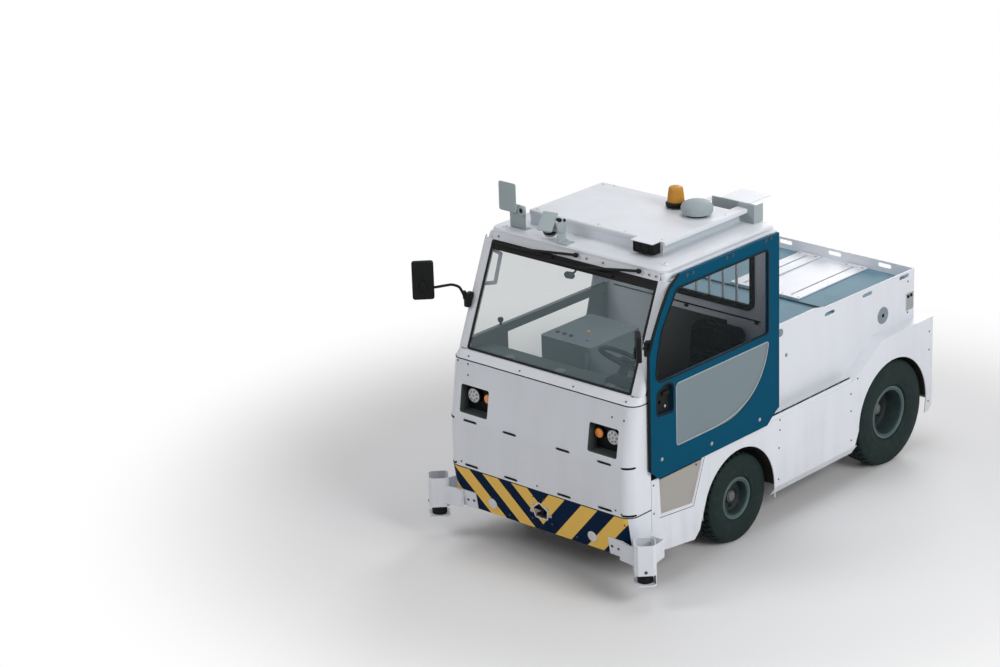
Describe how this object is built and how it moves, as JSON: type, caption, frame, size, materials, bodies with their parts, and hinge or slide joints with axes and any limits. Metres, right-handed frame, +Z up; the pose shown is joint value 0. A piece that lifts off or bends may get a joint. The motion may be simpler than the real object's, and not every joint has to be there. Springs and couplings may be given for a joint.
{
  "type": "autonomous tow tractor",
  "caption": "Electric airport tow tractor with an open-sided cab, a sliding left door, a rear deck box and roof and corner sensors for driving itself.",
  "frame": {"origin": "on the ground, midway between the outermost points of the vehicle", "axes": "+Z up, the front faces -Y, +X towards the vehicle's left side"},
  "size_m": [1.7944, 3.0535, 2.118],
  "materials": {
    "body_white": "satin white paint",
    "striped_panel": "slanted stripes, yellow and navy",
    "door_blue": "satin blue paint",
    "frame_dark": "dark chassis paint",
    "pin_steel": "plain steel",
    "black_plastic": "matt black",
    "grey_box": "light grey paint",
    "floor_grey": "grey paint",
    "lamp_clear": "clear lamp lens",
    "beacon_amber": "amber lens",
    "glass": "tinted glass",
    "seat_black": "black seat cover",
    "tyre": "black rubber",
    "rim_grey": "grey wheel paint"
  },
  "bodies": {
    "tractor": {"antenna_dome": "grey_box", "battery_block": "black_plastic", "beacon": "beacon_amber", "bumper_panel": "striped_panel", "cab_floor": "floor_grey", "cab_frame": "body_white", "cab_rear_wall": "body_white", "chassis_frame": "frame_dark", "console_cabinet": "grey_box", "corner_scanners": "black_plastic", "cowl": "body_white", "dash": "black_plastic", "deck_plates": "floor_grey", "door_rail": "frame_dark", "front_axle": "frame_dark", "front_tow_jaw": "frame_dark", "header_panel": "body_white", "lamps": "lamp_clear", "mirrors": "black_plastic", "nose_panel": "body_white", "rear_axle": "frame_dark", "rear_box": "body_white", "rear_coupling": "frame_dark", "rear_panel": "body_white", "rear_window": "glass", "roof_sensors": "grey_box", "roof_shell": "body_white", "roof_tray": "body_white", "seat_back": "seat_black", "seat_cushion": "seat_black", "sensor_guards": "body_white", "side_panel_left": "body_white", "side_panel_right": "body_white", "steering_column": "black_plastic", "step_panels": "floor_grey", "windscreen": "glass", "wipers": "black_plastic"},
    "knuckle_left": {"knuckle_left": "frame_dark"},
    "knuckle_right": {"knuckle_right": "frame_dark"},
    "wheel_front_left": {"tyre_front_left": "tyre", "rim_front_left": "rim_grey"},
    "wheel_front_right": {"tyre_front_right": "tyre", "rim_front_right": "rim_grey"},
    "wheel_rear_left": {"tyre_rear_left": "tyre", "rim_rear_left": "rim_grey"},
    "wheel_rear_right": {"tyre_rear_right": "tyre", "rim_rear_right": "rim_grey"},
    "door_left": {"door_left": "door_blue", "door_glazing_left": "glass"},
    "steering_wheel": {"steering_wheel": "black_plastic"},
    "hitch_pin": {"rear_hitch_pin": "pin_steel"}
  },
  "joints": [
    {"name": "steer_left", "type": "hinge", "parent": "tractor", "child": "knuckle_left", "pos_m": [0.52, -0.425, 0.27], "axis": [0, 0, 1], "range_deg": [-35, 35]},
    {"name": "steer_right", "type": "hinge", "parent": "tractor", "child": "knuckle_right", "pos_m": [-0.52, -0.425, 0.27], "axis": [0, 0, 1], "range_deg": [-35, 35]},
    {"name": "steering_wheel_turn", "type": "hinge", "parent": "tractor", "child": "steering_wheel", "pos_m": [0.3, -0.985, 1.215], "axis": [0, 0.6392, 0.769], "range_deg": [-420, 420]},
    {"name": "roll_front_left", "type": "hinge", "parent": "knuckle_left", "child": "wheel_front_left", "pos_m": [0.565, -0.425, 0.27], "axis": [1, 0, 0], "continuous": true},
    {"name": "roll_rear_left", "type": "hinge", "parent": "tractor", "child": "wheel_rear_left", "pos_m": [0.575, 1.062, 0.336], "axis": [1, 0, 0], "continuous": true},
    {"name": "roll_front_right", "type": "hinge", "parent": "knuckle_right", "child": "wheel_front_right", "pos_m": [-0.565, -0.425, 0.27], "axis": [1, 0, 0], "continuous": true},
    {"name": "roll_rear_right", "type": "hinge", "parent": "tractor", "child": "wheel_rear_right", "pos_m": [-0.575, 1.062, 0.336], "axis": [1, 0, 0], "continuous": true},
    {"name": "door_left_slide", "type": "slide", "parent": "tractor", "child": "door_left", "axis": [0, 1, 0], "range_m": [0, 0.6]},
    {"name": "hitch_pin_lift", "type": "slide", "parent": "tractor", "child": "hitch_pin", "axis": [0, 0, 1], "range_m": [0, 0.18]}
  ],
  "couplings": [
    {"joint": "steer_right", "follows": "steer_left", "ratio": 1},
    {"joint": "steering_wheel_turn", "follows": "steer_left", "ratio": 12}
  ]
}
